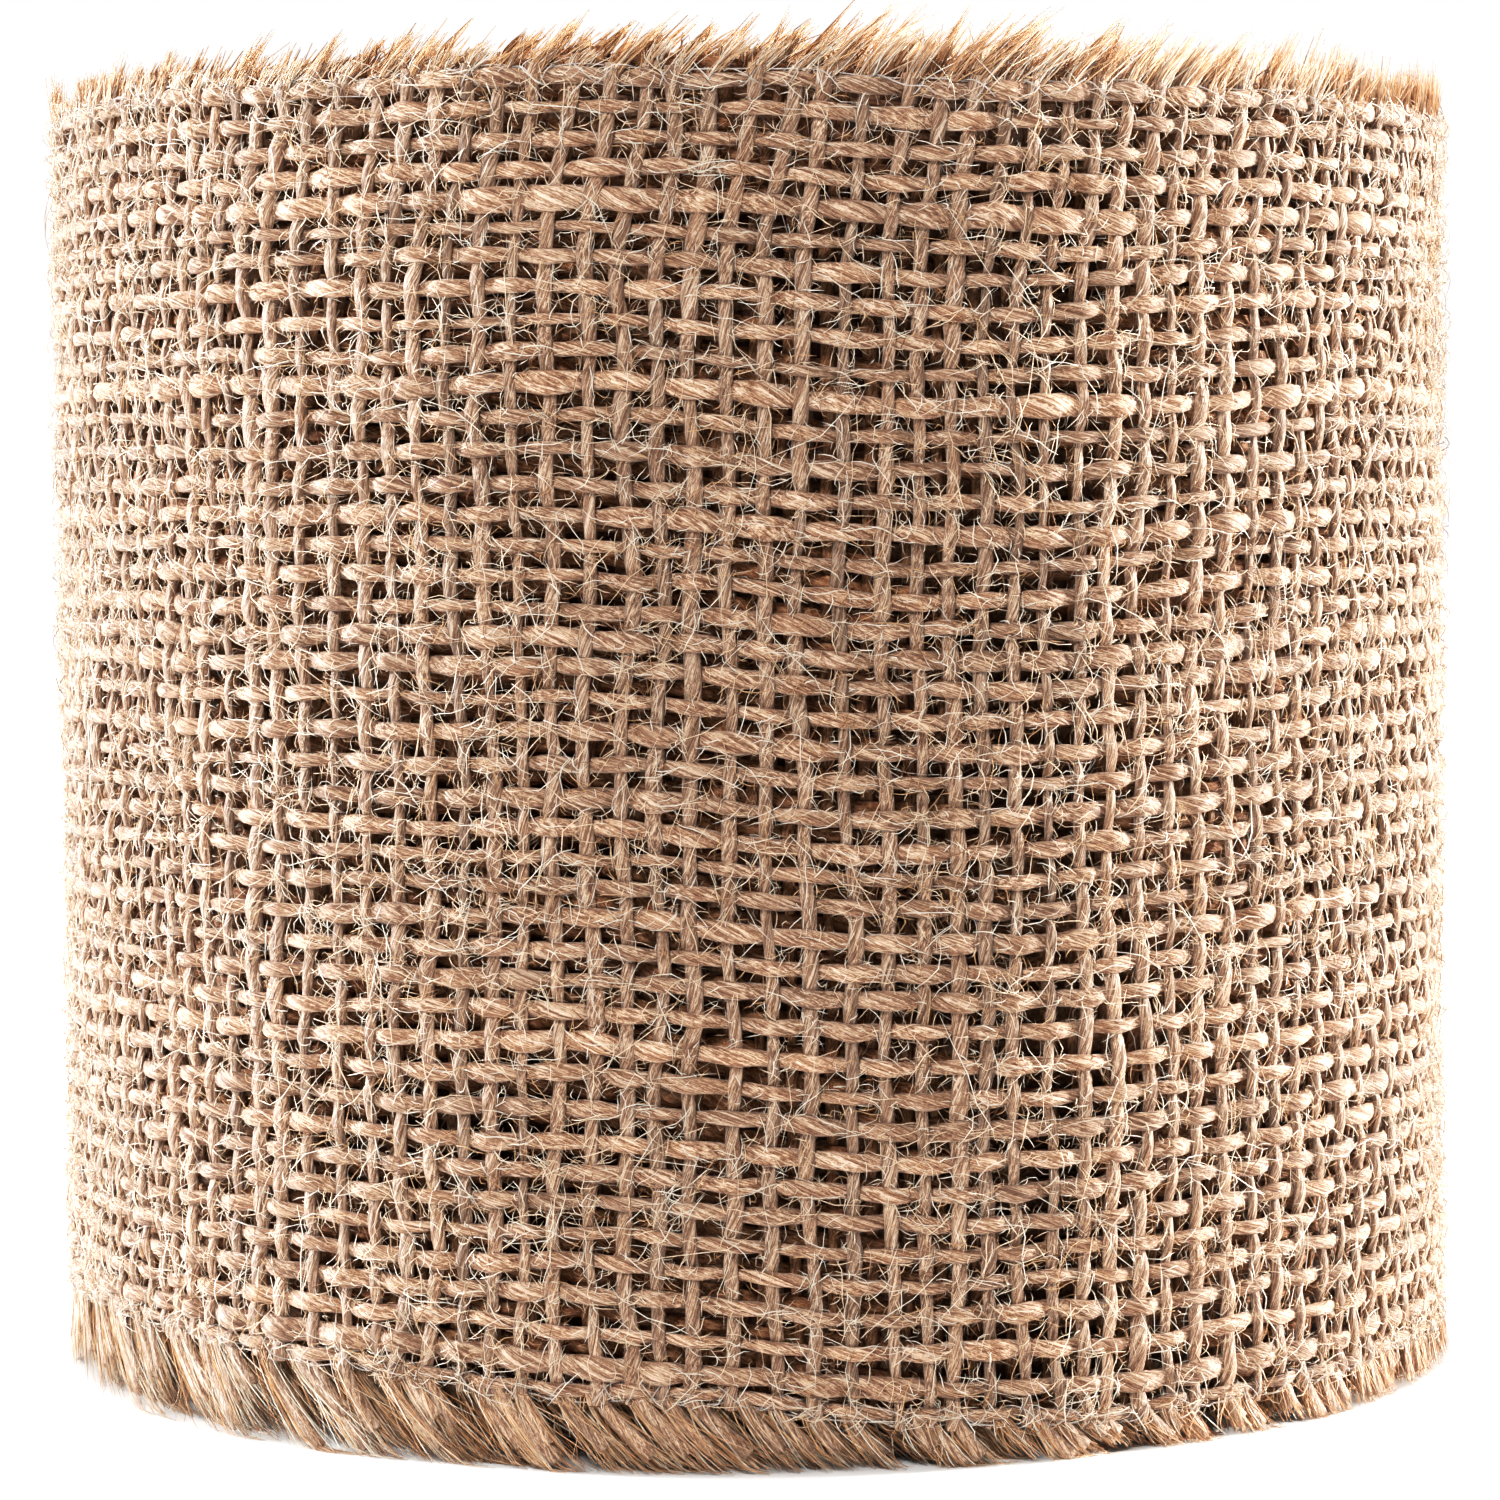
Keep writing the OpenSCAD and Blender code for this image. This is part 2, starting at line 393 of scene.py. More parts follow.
# frayed fibres of the turns under the outer one: darker copies of the same fibres, as painted shade
TUFT_SHADED = [fibre_material("fibre_shaded_golden", (0.50, 0.265, 0.125), 0.7, 0.2),
              fibre_material("fibre_shaded_straw", (0.58, 0.37, 0.22), 0.7, 0.2),
              fibre_material("fibre_shaded_pale", (0.68, 0.50, 0.35), 0.7, 0.2),
              fibre_material("fibre_shaded_brown", (0.25, 0.115, 0.05), 0.7, 0.2)]
HAIR = [fibre_material("loose_fibre_pale", (0.93, 0.82, 0.70)),
        fibre_material("loose_fibre_straw", (0.86, 0.66, 0.47)),
        fibre_material("loose_fibre_tan", (0.56, 0.34, 0.18), 0.6, 0.3),
        fibre_material("loose_fibre_brown", (0.26, 0.12, 0.05), 0.6, 0.3)]
THREAD = [thread_material("binding_thread_grey")]


# ---------------------------------------------------------------- where the yarns cross
def ease(value, low, high):
    """0 below low, 1 above high, and a smooth step between."""
    t = np.clip((value - low) / (high - low), 0, 1)
    return t * t * (3 - 2 * t)


def sag(turn, z):
    """How far the rows dip or rise round the roll, where the ribbon was wound a little askew."""
    side = from_front(turn)
    step = -1.05 * np.tanh(side / 10)            # all rows drop as they cross the middle of the front
    upper = ease(z, 82, 96)
    step = step * (1 - upper * np.where(side < 0, 1.0, 0.15))
    regain = 1.3 * ease(side, 15, 60) * ease(z, 10, 42) * (1 - ease(z, 80, 94))
    hem = np.exp(-np.clip(z - 4.6, 0, None) / 5)  # the lowest rows rise to the left and dip to the right
    askew = hem * (1.7 * ease(-side, 12, 56) - 0.75 * np.exp(-((side - 24) / 13) ** 2))
    front = np.exp(-(side / 105) ** 6)
    return (step + regain + askew) * front


def skew(turn, z):
    """How far the crosswise yarns lean along the ribbon near its upper edge, round the front."""
    return 2.0 * ease(z, 83, 98) * np.exp(-(from_front(turn) / 85) ** 6)


COLS = int(round((END_TURN - WOVEN_START) / WEFT_GAP))
cols = np.arange(COLS + 1)
GRID = (ROWS, COLS + 1)
mm_per_degree = turn_radius(FRONT_TURN) * math.pi / 180

cross_turn = WOVEN_START + cols * WEFT_GAP + drift((1, COLS + 1), 0.24, 1)
cross_turn = cross_turn + (drift(GRID, 0.25, 1, 6) + drift(GRID, 0.12, 0, 1)) / mm_per_degree
row_z = np.linspace(FIRST_ROW, LAST_ROW, ROWS)[:, None]
row_z[1:-1, 0] += drift((1, ROWS - 2), 0.15, 1)[0]
cross_z = row_z + drift(GRID, 0.16, 6, 1) + drift(GRID, 0.07)
below = np.clip((OUTER_START - cross_turn) / 40, 0, 1)
cross_z += sag(cross_turn, cross_z) + below * drift((1, COLS + 1), 0.7, 60)
cross_turn = cross_turn + skew(cross_turn, cross_z) / mm_per_degree

over = np.where((np.arange(ROWS)[:, None] + cols[None]) % 2 == 0, 1.0, -1.0)
taped = np.exp(-((cross_turn - END_TURN) / 25) ** 2) + np.exp(-((cross_turn - UNDER_TAPE) / 18) ** 2)
bulge = drift(GRID, 0.17, 12, 12) * (1 - np.clip(taped, 0, 1))
warp_lift = 0.38 * (1 + drift(GRID, 0.14))
weft_lift = 0.17 * (1 + drift(GRID, 0.14))

THICK_ROWS = {9: 1.2, 23: 1.15, 24: 1.25, 32: 1.35, 38: 1.4}      # rows that stand out, from the lowest
row_size = 1 + drift((ROWS, 1), 0.12)
for thick_row, size in THICK_ROWS.items():
    row_size[thick_row] = size
warp_size = row_size * (1 + drift(GRID, 0.14, 2)) * (1 + 0.10 * over)
warp_size = np.clip(warp_size, 0.62, 1.75)
weft_size = (1 + drift((1, COLS + 1), 0.13)) * (1 + drift(GRID, 0.12, 0, 2)) * (1 - 0.05 * over)
weft_size = np.clip(weft_size, 0.62, 1.6)
warp_tone = np.clip(0.5 + drift((ROWS, 1), 0.16) + drift(GRID, 0.17, 1), 0, 1)
weft_tone = np.clip(0.5 + drift((1, COLS + 1), 0.20) + drift(GRID, 0.14, 0, 1), 0, 1)

WARP_WIDE, WARP_HIGH = 0.53, 0.36            # half of the yarns' width and thickness
WEFT_WIDE, WEFT_HIGH = 0.465, 0.33
TWIST = -0.68                                # radians a millimetre


# ---------------------------------------------------------------- the weave
def through(points, steps):
    """A smooth line through points (lines, points), with so many steps between neighbours."""
    before, after = 2 * points[:, :1] - points[:, 1:2], 2 * points[:, -1:] - points[:, -2:-1]
    p = np.concatenate([before, points, after], 1)
    t = np.linspace(0, 1, steps, endpoint=False)
    a, b, c, d = (p[:, k:k + points.shape[1] - 1, None] for k in range(4))
    line = 0.5 * (2 * b + (c - a) * t + (2 * a - 5 * b + 4 * c - d) * t ** 2
                  + (3 * b - a - 3 * c + d) * t ** 3)
    return np.concatenate([line.reshape(len(points), -1), points[:, -1:]], 1)


def between(values, steps):
    """Values (lines, points) with cosine steps between neighbours, as a yarn bends over its crossings."""
    t = (1 - np.cos(np.pi * np.linspace(0, 1, steps, endpoint=False))) / 2
    line = values[:, :-1, None] + (values[:, 1:, None] - values[:, :-1, None]) * t
    return np.concatenate([line.reshape(len(values), -1), values[:, -1:]], 1)


def weave_warp(pile, first, last, steps, sides):
    """Lengthwise yarns from one column to another, cut where each dips under a crosswise yarn."""
    for odd in (0, 1):
        a, b = (c if (odd + c) % 2 == 1 else c + 1 for c in (first, last))
        part = (slice(odd, ROWS, 2), slice(a, min(b, COLS) + 1))
        turn = through(cross_turn[part], steps)
        out = between((over * warp_lift)[part], steps) + through(bulge[part], steps)
        size = between(warp_size[part], steps)
        pile.tubes(spiral(turn, out, through(cross_z[part], steps)), outward(turn), WARP_WIDE * size,
                   WARP_HIGH * size, sides, TWIST, through(warp_tone[part], steps), 0.08, 0)


def weave_weft(pile, first, last, steps, sides):
    """Crosswise yarns, from just below the lowest row to just above the highest."""
    part = (slice(None), slice(first, last))
    ends = [0] + list(range(ROWS)) + [ROWS - 1]
    past = 1.0
    z = cross_z[part]
    z = np.concatenate([z[:1] - past, z, z[-1:] + past])
    height = (-over * weft_lift)[part]
    height = np.concatenate([height[:1] * 0, height, height[:1] * 0])
    turn = through(cross_turn[part][ends].T, steps)
    out = between(height.T, steps) + through(bulge[part][ends].T, steps)
    size = between(weft_size[part][ends].T, steps)
    pile.tubes(spiral(turn, out, through(z.T, steps)), outward(turn), WEFT_WIDE * size,
               WEFT_HIGH * size, sides, TWIST, through(weft_tone[part][ends].T, steps), 0.08, 1)


def woven_panel(name, first, last, steps=5, sides=10, yarns=(WARP, WEFT)):
    pile = Pile()
    weave_warp(pile, first, last, steps, sides)
    weave_weft(pile, first, last, steps, sides)
    obj = pile.build(name, yarns)
    return obj


def column_at(turn):
    return int(np.argmin(np.abs(cross_turn.mean(0) - turn)))


def shares(first, last, parts):
    """Whole numbers that split first to last into so many nearly equal parts, as pairs."""
    edges = np.round(np.linspace(first, last, parts + 1)).astype(int).tolist()
    return list(zip(edges[:-1], edges[1:]))


outer_col = column_at(OUTER_START)
tail_col = column_at(TAIL_TURN)
for number, (a, b) in enumerate(shares(outer_col, tail_col, 8), 1):
    panel = woven_panel(f"outer_turn_{number}", a, b)
    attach(panel, "roll")
# the turn under the outer one is woven in the darker yarns, as painted shade
for number, (a, b) in enumerate(shares(0, outer_col, 4), 1):
    panel = woven_panel(f"second_turn_{number}", a, b, 3, 5, (WARP_SHADED, WEFT_SHADED))
    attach(panel, "roll")
tail = woven_panel("ribbon_loose_end", tail_col, COLS)


# ---------------------------------------------------------------- loose fibres
# For each kind of loose fibre: how many a degree, rings, the logarithm of its length (middle and spread),
# curl, depth, the shares that lie anyhow, along the lengthwise and along the crosswise yarns, and the shares
# of HAIR. They are long pale hairs, short curly fuzz and broken bits
LOOSE = ((132, 5, (0.62, 0.56), 1.6, (-0.7, 0.6), (0.50, 0.30, 0.20), (0.42, 0.36, 0.16, 0.06)),
         (60, 4, (0.25, 0.35), 2.2, (-0.9, 0.4), (0.80, 0.10, 0.10), (0.22, 0.34, 0.31, 0.13)),
         (50, 3, (0.10, 0.35), 1.5, (-0.8, 0.5), (0.70, 0.15, 0.15), (0.34, 0.34, 0.22, 0.10)))
HAIR_PIECES = 10


def strands(pile, local, first, last, count, steps, length, curl, inside, follow, kinds):
    """One kind of fibre that lies loose on the cloth, from one direction to another."""
    follows = local.choice(3, count, p=follow)
    anyhow, lengthwise, crosswise = (follows == k for k in range(3))
    col = local.integers(column_at(first), column_at(last), count)
    row = local.integers(0, ROWS, count)
    turn = cross_turn[row, col] + local.uniform(-0.5, 0.5, count) * WEFT_GAP * ~crosswise
    turn = turn + crosswise * local.normal(0, 0.40, count) / mm_per_degree
    by_yarn = local.normal(0, 0.42, count)
    by_gap = local.uniform(-0.5, 0.5, count) * ROW_GAP
    z = cross_z[row, col] + np.where(lengthwise, by_yarn, by_gap)
    free_heading = local.uniform(0, 2 * np.pi, count)
    reverse = local.integers(0, 2, count) * np.pi
    yarn_heading = crosswise * np.pi / 2 + reverse + local.normal(0, 0.30, count)
    heading = np.where(anyhow, free_heading, yarn_heading)
    reach = np.clip(local.lognormal(*length, count), 0.6, 9.0)
    bend = local.normal(0, 1, count) * np.where(anyhow, curl, 0.6)
    t = np.linspace(0, 1, steps)[None]
    way = heading[:, None] + bend[:, None] * t + 0.2 * np.sin(t * 7 + heading[:, None] * 5)
    step = reach[:, None] / (steps - 1)
    along = np.cumsum(np.cos(way) * step, 1)
    climb = np.cumsum(np.sin(way) * step, 1)
    arch = local.uniform(0, 0.6, count)[:, None] * np.sin(np.pi * t)
    out = np.where(anyhow, local.uniform(*inside, count), local.uniform(0.3, 0.7, count))[:, None]
    out = out + local.uniform(-0.4, 0.8, count)[:, None] * t + arch
    where = turn[:, None] + (along - along.mean(1, keepdims=True)) / mm_per_degree
    pressed = (np.abs(where - END_TURN + 5) < 16) | (np.abs(where - UNDER_TAPE) < 16)
    out = np.where(pressed, np.minimum(out, 0.75), out)
    height = np.clip(z[:, None] + climb - climb.mean(1, keepdims=True), 0.15, TOP + 1.0)
    thick = local.uniform(0.020, 0.044, count)[:, None] * (1.1 - 0.65 * np.abs(2 * t - 1) ** 2)
    pile.tubes(spiral(where, out, height), outward(where), thick, thick, 3,
               mat=local.choice(4, count, p=kinds))


def hairs(name, first, last, seed, density=1.0):
    """Every kind of loose fibre from one direction to another, as one piece."""
    local = np.random.default_rng(seed)
    pile = Pile()
    degrees = (last - first) * density
    for per_degree, *kind in LOOSE:
        strands(pile, local, first, last, int(degrees * per_degree), *kind)
    obj = pile.build(name, HAIR)
    return obj


hair_span = (TAIL_TURN - OUTER_START) / HAIR_PIECES
for number in range(HAIR_PIECES):
    start = OUTER_START + number * hair_span
    piece = hairs(f"outer_turn_hairs_{number + 1}", start, start + hair_span, 100 + number)
    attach(piece, "roll")
tail_hairs = hairs("loose_end_hairs", TAIL_TURN + 1, END_TURN, 200, 0.82)


# ---------------------------------------------------------------- frayed edges
# How the frayed ends lie at an edge: the part of their room that they fill and its spread, the spreads of
# each fibre's reach and lean, the share of wild ones, how far they splay outward, how straight they are, and
# the shares of golden, straw, pale and brown ones
Fray = namedtuple("Fray", "tall tall_spread reach_spread lean_spread wild splay straight kinds")
UPPER = Fray(0.98, 0.13, 0.10, 0.05, 0.20, 0.05, 0.45, (0.54, 0.20, 0.06, 0.20))
LOWER = Fray(0.88, 0.18, 0.17, 0.16, 0.16, 0.25, 0.35, (0.44, 0.18, 0.04, 0.34))
MIXED_KINDS = (0.22, 0.36, 0.32, 0.10)
PALE, BROWN, YARN = 2, 3, 4                  # their places in a fringe's materials


def lean_at(turn):
    """How far the frayed ends lean along the ribbon: well over, but nearly straight at the front's right."""
    side = from_front(turn)
    return 0.85 - 0.70 / (1 + np.exp(-(side - 50) / 8)) + 0.6 / (1 + np.exp(-(side - 120) / 12))


def stems(pile, local, turn, z, out, up, reach, lean):
    """The yarns' own ends, before they come apart."""
    s = np.linspace(0, 1, 7)
    where = turn + np.degrees(lean * reach * (0.4 * s + 0.6 * s ** 1.5) / turn_radius(turn))
    height = np.clip(z + up * (reach * s - 0.6), 0.3, None)
    girth = 0.42 * (1 - 0.75 * s ** 2) if up > 0 else 0.44 + 0.10 * s
    girth = local.uniform(0.85, 1.15, (len(turn), 1)) * girth
    tone = local.uniform(0.3, 0.8, (len(turn), 1)) + 0 * s
    splay = (UPPER if up > 0 else LOWER).splay
    pile.tubes(spiral(where, out + splay * s, height), outward(where), girth, girth * 0.7, 8, TWIST,
               tone, 0.1, mat=YARN)


def tufts(pile, turn, z, out, up, count, thick, steps, seed, width, core=0.0):
    """Bunches of fibre at the crosswise yarns' ends: up is 1 at the upper edge, and -1 at the lower."""
    local = np.random.default_rng(seed)
    fray = UPPER if up > 0 else LOWER
    n = len(turn)
    t = np.linspace(0, 1, steps)
    side = from_front(turn)
    if up > 0:                                   # the ends stand tallest over the front's middle and left
        left = ease(-side, 5, 30) * (1 - 0.6 * ease(-side, 62, 80))
        room = (TOP - z) * (1.0 + 0.40 * np.exp(-(side / 26) ** 2) + 0.18 * left)
    else:
        room = z + 0.9
    tall = np.clip(local.normal(fray.tall, fray.tall_spread, (n, 1)), 0.55, 1.15) * room[:, None]
    flame = local.uniform(0, 1, (n, 1)) < 0.55
    if up > 0:                                   # tall golden ends stand among short pale ones
        calm = ease(side, -15, 40)[:, None]
        tall = tall * np.where(flame, 1.08, 0.55 + 0.37 * calm)
    else:
        turn = turn + local.normal(0, 0.6, n)
    across = local.uniform(-1, 1, (n, count))
    reach = tall * np.clip(local.normal(0.95, fray.reach_spread, (n, count)), 0.45, 1.12)
    lean = lean_at(turn)[:, None] * local.normal(1, 0.16, (n, 1))
    lean = lean + local.normal(0, fray.lean_spread, (n, count))
    wild = local.uniform(0, 1, (n, count)) < fray.wild
    lean = lean + wild * local.normal(0, 0.55, (n, count))
    reach = reach * np.where(wild, 0.85, 1.0)
    place = across * width * np.where(wild, 2.0, 1.0)
    if up > 0:                                   # the tall ones are drawn to a point, like a flame
        reach = reach * np.where(flame, 1.04 - 0.22 * np.abs(across), 1.0)
        spread = np.where(flame[..., None], 0.90 + 0.9 * t - 1.70 * t ** 2, 0.9 + 0.7 * t)
    else:                                        # fanned out like a brush
        spread = 0.75 + 1.3 * t - 0.65 * t ** 2
    bend = fray.straight * t + (1 - fray.straight) * t ** 1.5
    wave = local.normal(0, 0.12, (n, count, 1)) * np.sin(t * local.uniform(3, 8, (n, count, 1)))
    along = place[..., None] * spread + (lean * reach)[..., None] * bend + wave
    height = z[:, None, None] + up * (reach[..., None] * t - 0.3)
    height = np.clip(height, 0.07, None) + 0.05 * local.uniform(0, 1, (n, count, 1))
    depth = local.uniform(-0.36, 0.36, (n, count, 1)) * (0.9 + 0.5 * t)
    depth = out[:, None, None] + (depth + local.normal(fray.splay, 0.2, (n, count, 1)) * t)
    where = turn[:, None, None] + np.degrees(along / turn_radius(turn)[:, None, None])
    size = thick * local.uniform(0.7, 1.35, (n * count, 1)) * (1.05 - 0.75 * t ** 2)
    golden = local.choice(4, (n, count), p=fray.kinds)
    mixed = local.choice(4, (n, count), p=MIXED_KINDS)
    if up > 0:
        kind = np.where(flame, golden, mixed)
    else:                                        # browner at the front's right, as painted shade, and paler at its left
        kind = np.where(local.uniform(0, 1, (n, count)) < 0.6, golden, mixed)
        draw = local.uniform(0, 1, (n, count))
        kind = np.where(draw < 0.60 * ease(side, 10, 45)[:, None], BROWN, kind)
        kind = np.where(draw < 0.35 * ease(-side, 20, 50)[:, None], PALE, kind)
    path = spiral(where, depth, height).reshape(n * count, steps, 3)
    pile.tubes(path, outward(where).reshape(n * count, steps, 3), size, size * 0.8, 3, mat=kind.ravel())
    if core:
        stems(pile, local, turn[:, None], z[:, None], out[:, None], up, reach.mean(1)[:, None] * core,
              lean.mean(1)[:, None])


def fringe(name, first, last, up, count, thick, steps, seed, node, core=0.0, fibres=TUFT):
    """The frayed edge along some of the woven columns. core is the part of each end that is still a yarn."""
    row, width = (-1, 0.50) if up > 0 else (0, 0.62)
    part = slice(first, last)
    pile = Pile()
    tufts(pile, cross_turn[row, part], cross_z[row, part] + up * 0.5, bulge[row, part], up, count, thick,
          steps, seed, width, core)
    obj = pile.build(name, fibres + [WEFT])
    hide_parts(node)
    return obj


tail_edges = []
for up, label, core in ((1, "top", 0.62), (-1, "bottom", 0.85)):
    for number, (a, b) in enumerate(shares(outer_col, tail_col, 2), 1):
        piece = fringe(f"{label}_outer_fringe_{number}", a, b, up, 38, 0.05, 7, 300 + 3 * number + up,
                       f"{label}_fringe", core)
        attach(piece, "roll")
    # the second turn's fringe uses the darker fibres, as painted shade
    piece = fringe(f"{label}_second_fringe", 0, outer_col, up, 26, 0.085, 5, 320 + up, f"{label}_fringe",
                   fibres=TUFT_SHADED)
    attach(piece, "roll")
    tail_edges.append(fringe(f"loose_end_{label}_fringe", tail_col, COLS, up, 38, 0.05, 7, 330 + up,
                             f"tail_{label}_fringe", core))


# ---------------------------------------------------------------- binding thread
def binding(name, first, last, row, node):
    """Fine threads at the edge: two wind round its last yarn, and one runs along it."""
    up = 1 if row < 0 else -1
    part = slice(first, last)
    steps, sides, twist = 10, 5, 3.0
    winding_r, running_r = 0.045, 0.055
    pile = Pile()
    turn = through(cross_turn[None, row, part], steps)
    level = through(cross_z[None, row, part], steps)
    stand = through(bulge[None, row, part], steps)
    beat = np.arange(turn.shape[1]) / steps * 2 * math.pi
    for start, rate in ((0.0, 1.0), (2.6, -0.5)):
        phase = start + rate * beat + drift((1, turn.shape[1]), 0.9, 40)
        path = spiral(turn, stand + 0.05 + 0.75 * np.cos(phase), level + up * 0.12 + 0.66 * np.sin(phase))
        pile.tubes(path, outward(turn), winding_r, winding_r, sides, twist)
    run = spiral(turn, stand + 0.30 * np.cos(beat / 2), level + up * (0.72 + 0.12 * np.sin(beat / 3)))
    pile.tubes(run, outward(turn), running_r, running_r, sides, twist)
    obj = pile.build(name, THREAD)
    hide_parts(node)
    return obj


tail_threads = []
for row, label in ((-1, "top"), (0, "bottom")):
    piece = binding(f"{label}_edge_threads", outer_col, tail_col + 1, row, f"{label}_binding_thread")
    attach(piece, "roll")
    tail_threads.append(binding(f"loose_end_{label}_threads", tail_col, COLS + 1, row,
                                f"tail_{label}_binding"))


# ---------------------------------------------------------------- the inner turns
def inner_columns():
    """The crosswise yarns of the turns that aren't woven in full."""
    turns = [2.0]
    while turns[-1] < WOVEN_START:
        turns.append(turns[-1] + math.degrees(INNER_GAP / float(turn_radius(np.array(turns[-1])))))
    return np.array(turns)


inner_turn = inner_columns()
inner_low = FIRST_ROW + drift((1, len(inner_turn)), 0.3, 12)[0]
inner_high = LAST_ROW + drift((1, len(inner_turn)), 0.3, 12)[0]


def inner_cloth():
    """The wound cloth inside, one closed band."""
    turn = np.arange(0, WOVEN_START + 2, 1.35)
    low = np.interp(turn, inner_turn, inner_low) - 0.6
    high = np.interp(turn, inner_turn, inner_high) + 0.6
    bevel, thick = 0.25, 0.5
    profile = [(-thick, bevel, 0), (-thick, 0, 0.5), (-thick, -bevel, 1), (-thick * 0.4, 0, 1),
               (thick * 0.4, 0, 1), (thick, -bevel, 1), (thick, 0, 0.5), (thick, bevel, 0),
               (thick * 0.4, 0, 0), (-thick * 0.4, 0, 0)]
    ring = np.stack([spiral(turn, np.full(len(turn), out), low + (high - low) * share + inset)
                     for out, inset, share in profile], 1)
    n, sides = ring.shape[:2]
    length = np.concatenate([[0], np.cumsum(np.radians(np.diff(turn)) * turn_radius(turn[1:]))])
    verts = ring.reshape(-1, 3)
    k = (np.arange(n - 1) * sides)[:, None]
    s = np.arange(sides)[None]
    t = (s + 1) % sides
    faces = np.stack([k + s, k + t, k + sides + t, k + sides + s], -1).reshape(-1, 4).tolist()
    faces += [list(range(sides))[::-1], list(range((n - 1) * sides, n * sides))]
    mesh = bpy.data.meshes.new("ribbon_inner_turns")
    mesh.from_pydata((verts * MM).tolist(), [], faces)
    layer = mesh.attributes.new("cloth", "FLOAT_VECTOR", "POINT")
    place = np.stack([np.repeat(length, sides), verts[:, 2], np.zeros(len(verts))], -1)
    layer.data.foreach_set("vector", place.astype(np.float32).ravel())
    mesh.polygons.foreach_set("use_smooth", np.ones(len(mesh.polygons), bool))
    mesh.materials.append(cloth_material())
    obj = bpy.data.objects.new("ribbon_inner_turns", mesh)
    bpy.context.scene.collection.objects.link(obj)
    return obj


inner = inner_cloth()
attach(inner, "roll")
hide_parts("ribbon_windings")
for up, label, z in ((1, "top", inner_high), (-1, "bottom", inner_low)):
    pile = Pile()
    tufts(pile, inner_turn, z + up * 0.5, np.zeros(len(inner_turn)), up, 8 if up > 0 else 4, 0.10, 3,
          400 + up, 0.8)
    # the inner turns' fringe is built of the darker fibres, as painted shade
    piece = pile.build(f"{label}_inner_fringe", TUFT_SHADED)
    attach(piece, "roll")
    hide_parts(f"{label}_fringe")


for piece in [tail, tail_hairs] + tail_edges + tail_threads:
    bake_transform(piece)
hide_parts("ribbon_tail")


# ---------------------------------------------------------------- parts whose CAD shape stays
KRAFT = (0.40, 0.25, 0.14)
FINISHES = {"core_inner_ply": board_material("inner_ply_board", KRAFT, 60),
            "core_middle_ply": board_material("middle_ply_board", KRAFT, 75),
            "core_outer_ply": board_material("outer_ply_board", KRAFT, 90),
            "start_tape": paper_material("start_tape_paper"),
            "end_tape": tape_material("end_tape_film")}
for node, material in FINISHES.items():
    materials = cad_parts[node].data.materials
    materials.clear()
    materials.append(material)

# ---------------------------------------------------------------- floor, light and camera
FLOOR = 3.0
SHADOW = (0.0548, 0.0585)                    # metres from the roll's middle over which the floor's glow fades in; inside lies painted shade under the roll, where its real shadow also falls
floor_mesh = bpy.data.meshes.new("floor")
corners = [(x * FLOOR, y * FLOOR, 0) for x, y in ((-1, -1), (1, -1), (1, 1), (-1, 1))]
floor_mesh.from_pydata(corners, [], [(0, 1, 2, 3)])
floor = bpy.data.objects.new("floor", floor_mesh)
bpy.context.scene.collection.objects.link(floor)
paint = Nodes("floor_paint")
seen = paint.add("LightPath").outputs["Is Camera Ray"]
place = paint.scaled(paint.add("TexCoord").outputs["Object"], (1, 1, 0))
from_roll = paint.add("VectorMath", {0: place, 1: (0.0006, 0, 0)}, operation="DISTANCE").outputs["Value"]
# the floor glows white to the camera but fades out near the roll: painted shade under it
clear = paint.add("MapRange", {"Value": from_roll, "From Min": SHADOW[0], "From Max": SHADOW[1]}).outputs[0]
glow = paint.math("MULTIPLY", clear, paint.between(seen, 0.06, 0.78))
floor_mesh.materials.append(paint.finish((0.9, 0.9, 0.9, 1), 0.9, Emission_Color=(1, 1, 1, 1),
                                         Emission_Strength=glow))

scene = bpy.context.scene
AMBIENT = 0.13                               # light from all round; the backdrop itself looks white
world = bpy.data.worlds.new("studio")
scene.world = world
world.use_nodes = True
backdrop = world.node_tree.nodes["Background"]
backdrop.inputs["Color"].default_value = (1, 1, 1, 1)
ray = world.node_tree.nodes.new("ShaderNodeLightPath")
level = world.node_tree.nodes.new("ShaderNodeMapRange")
level.inputs["To Min"].default_value = AMBIENT
level.inputs["To Max"].default_value = 1.0
world.node_tree.links.new(ray.outputs["Is Camera Ray"], level.inputs["Value"])
world.node_tree.links.new(level.outputs[0], backdrop.inputs["Strength"])


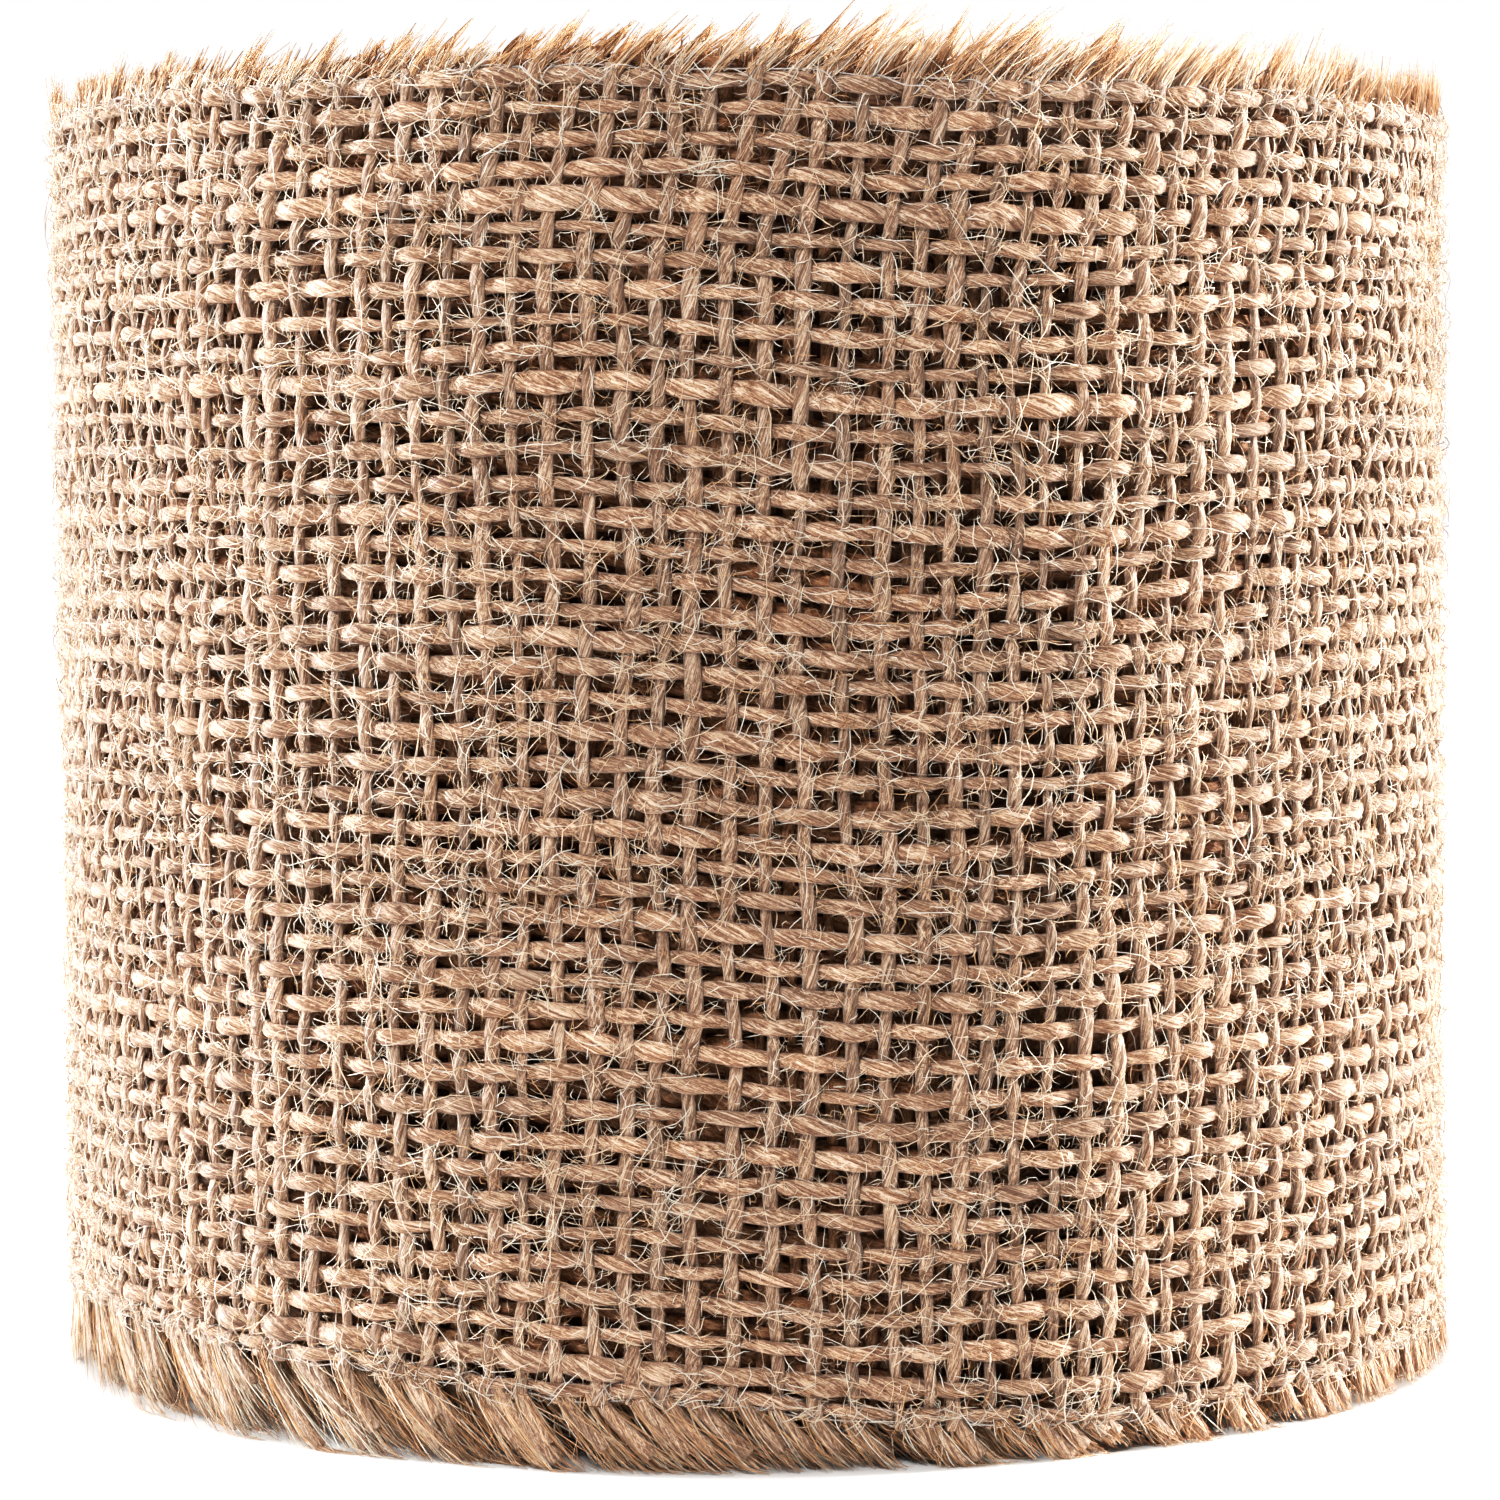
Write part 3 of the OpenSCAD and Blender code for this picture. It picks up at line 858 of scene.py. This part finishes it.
def softbox(name, azimuth, height, distance, size, light, aim=(0, 0, 0.05), grid=180, colour=(1, 1, 1)):
    """A lamp so many degrees round the roll from the front. light is how bright a face turned to it gets.

    A grid of fewer than 180 degrees makes it a beam as wide as the lamp, towards where it's aimed."""
    a = math.radians(azimuth)
    place = Vector((distance * math.sin(a), -distance * math.cos(a), height))
    data = bpy.data.lights.new(name, "AREA")
    data.shape = "RECTANGLE"
    data.size, data.size_y = size
    data.spread = math.radians(grid)
    data.color = colour
    data.energy = light * ((math.pi * place.length) ** 2 if grid == 180 else math.pi * size[0] * size[1])
    lamp = bpy.data.objects.new(name, data)
    lamp.location = place
    lamp.rotation_euler = (Vector(aim) - place).to_track_quat("-Z", "Y").to_euler()
    scene.collection.objects.link(lamp)


BEAM = 12                                    # degrees that the grids of the two side lights leave
softbox("left_light", -104, 0.14, 0.60, (0.12, 0.30), 3.1, (-0.02, -0.045, 0.05), BEAM)
softbox("right_light", 105, 0.14, 0.60, (0.12, 0.30), 4.2, (0.02, -0.045, 0.05), BEAM, (1, 0.925, 0.85))
softbox("front_light", -18, 0.60, 0.70, (0.20, 0.20), 0.71)
softbox("back_light", 180, 0.45, 0.90, (0.60, 0.40), 0.85)
overhead = bpy.data.lights.new("overhead_light", "SUN")
overhead.energy = 1.45
overhead.angle = math.radians(20)
scene.collection.objects.link(bpy.data.objects.new("overhead_light", overhead))

EYE_DISTANCE = 0.395
EYE_HEIGHT = 0.0698
PITCH = math.radians(3.23)
ROLL = math.radians(0.5)
camera_data = bpy.data.cameras.new("camera")
camera_data.lens = 118.7
camera_data.sensor_width = 36
camera_data.clip_start, camera_data.clip_end = 0.05, 10
camera = bpy.data.objects.new("camera", camera_data)
camera.location = (0.0008, -EYE_DISTANCE, EYE_HEIGHT)
camera.rotation_euler = (math.pi / 2 - PITCH, ROLL, 0)
scene.collection.objects.link(camera)
scene.camera = camera
scene.view_settings.view_transform = "Standard"
scene.view_settings.use_curve_mapping = True
CONTRAST = ((0.015, 0.010), (0.07, 0.050), (0.18, 0.158), (0.30, 0.30), (0.5, 0.55))
contrast = scene.view_settings.curve_mapping
for shade, shown in CONTRAST:
    contrast.curves[3].points.new(shade, shown)
contrast.update()
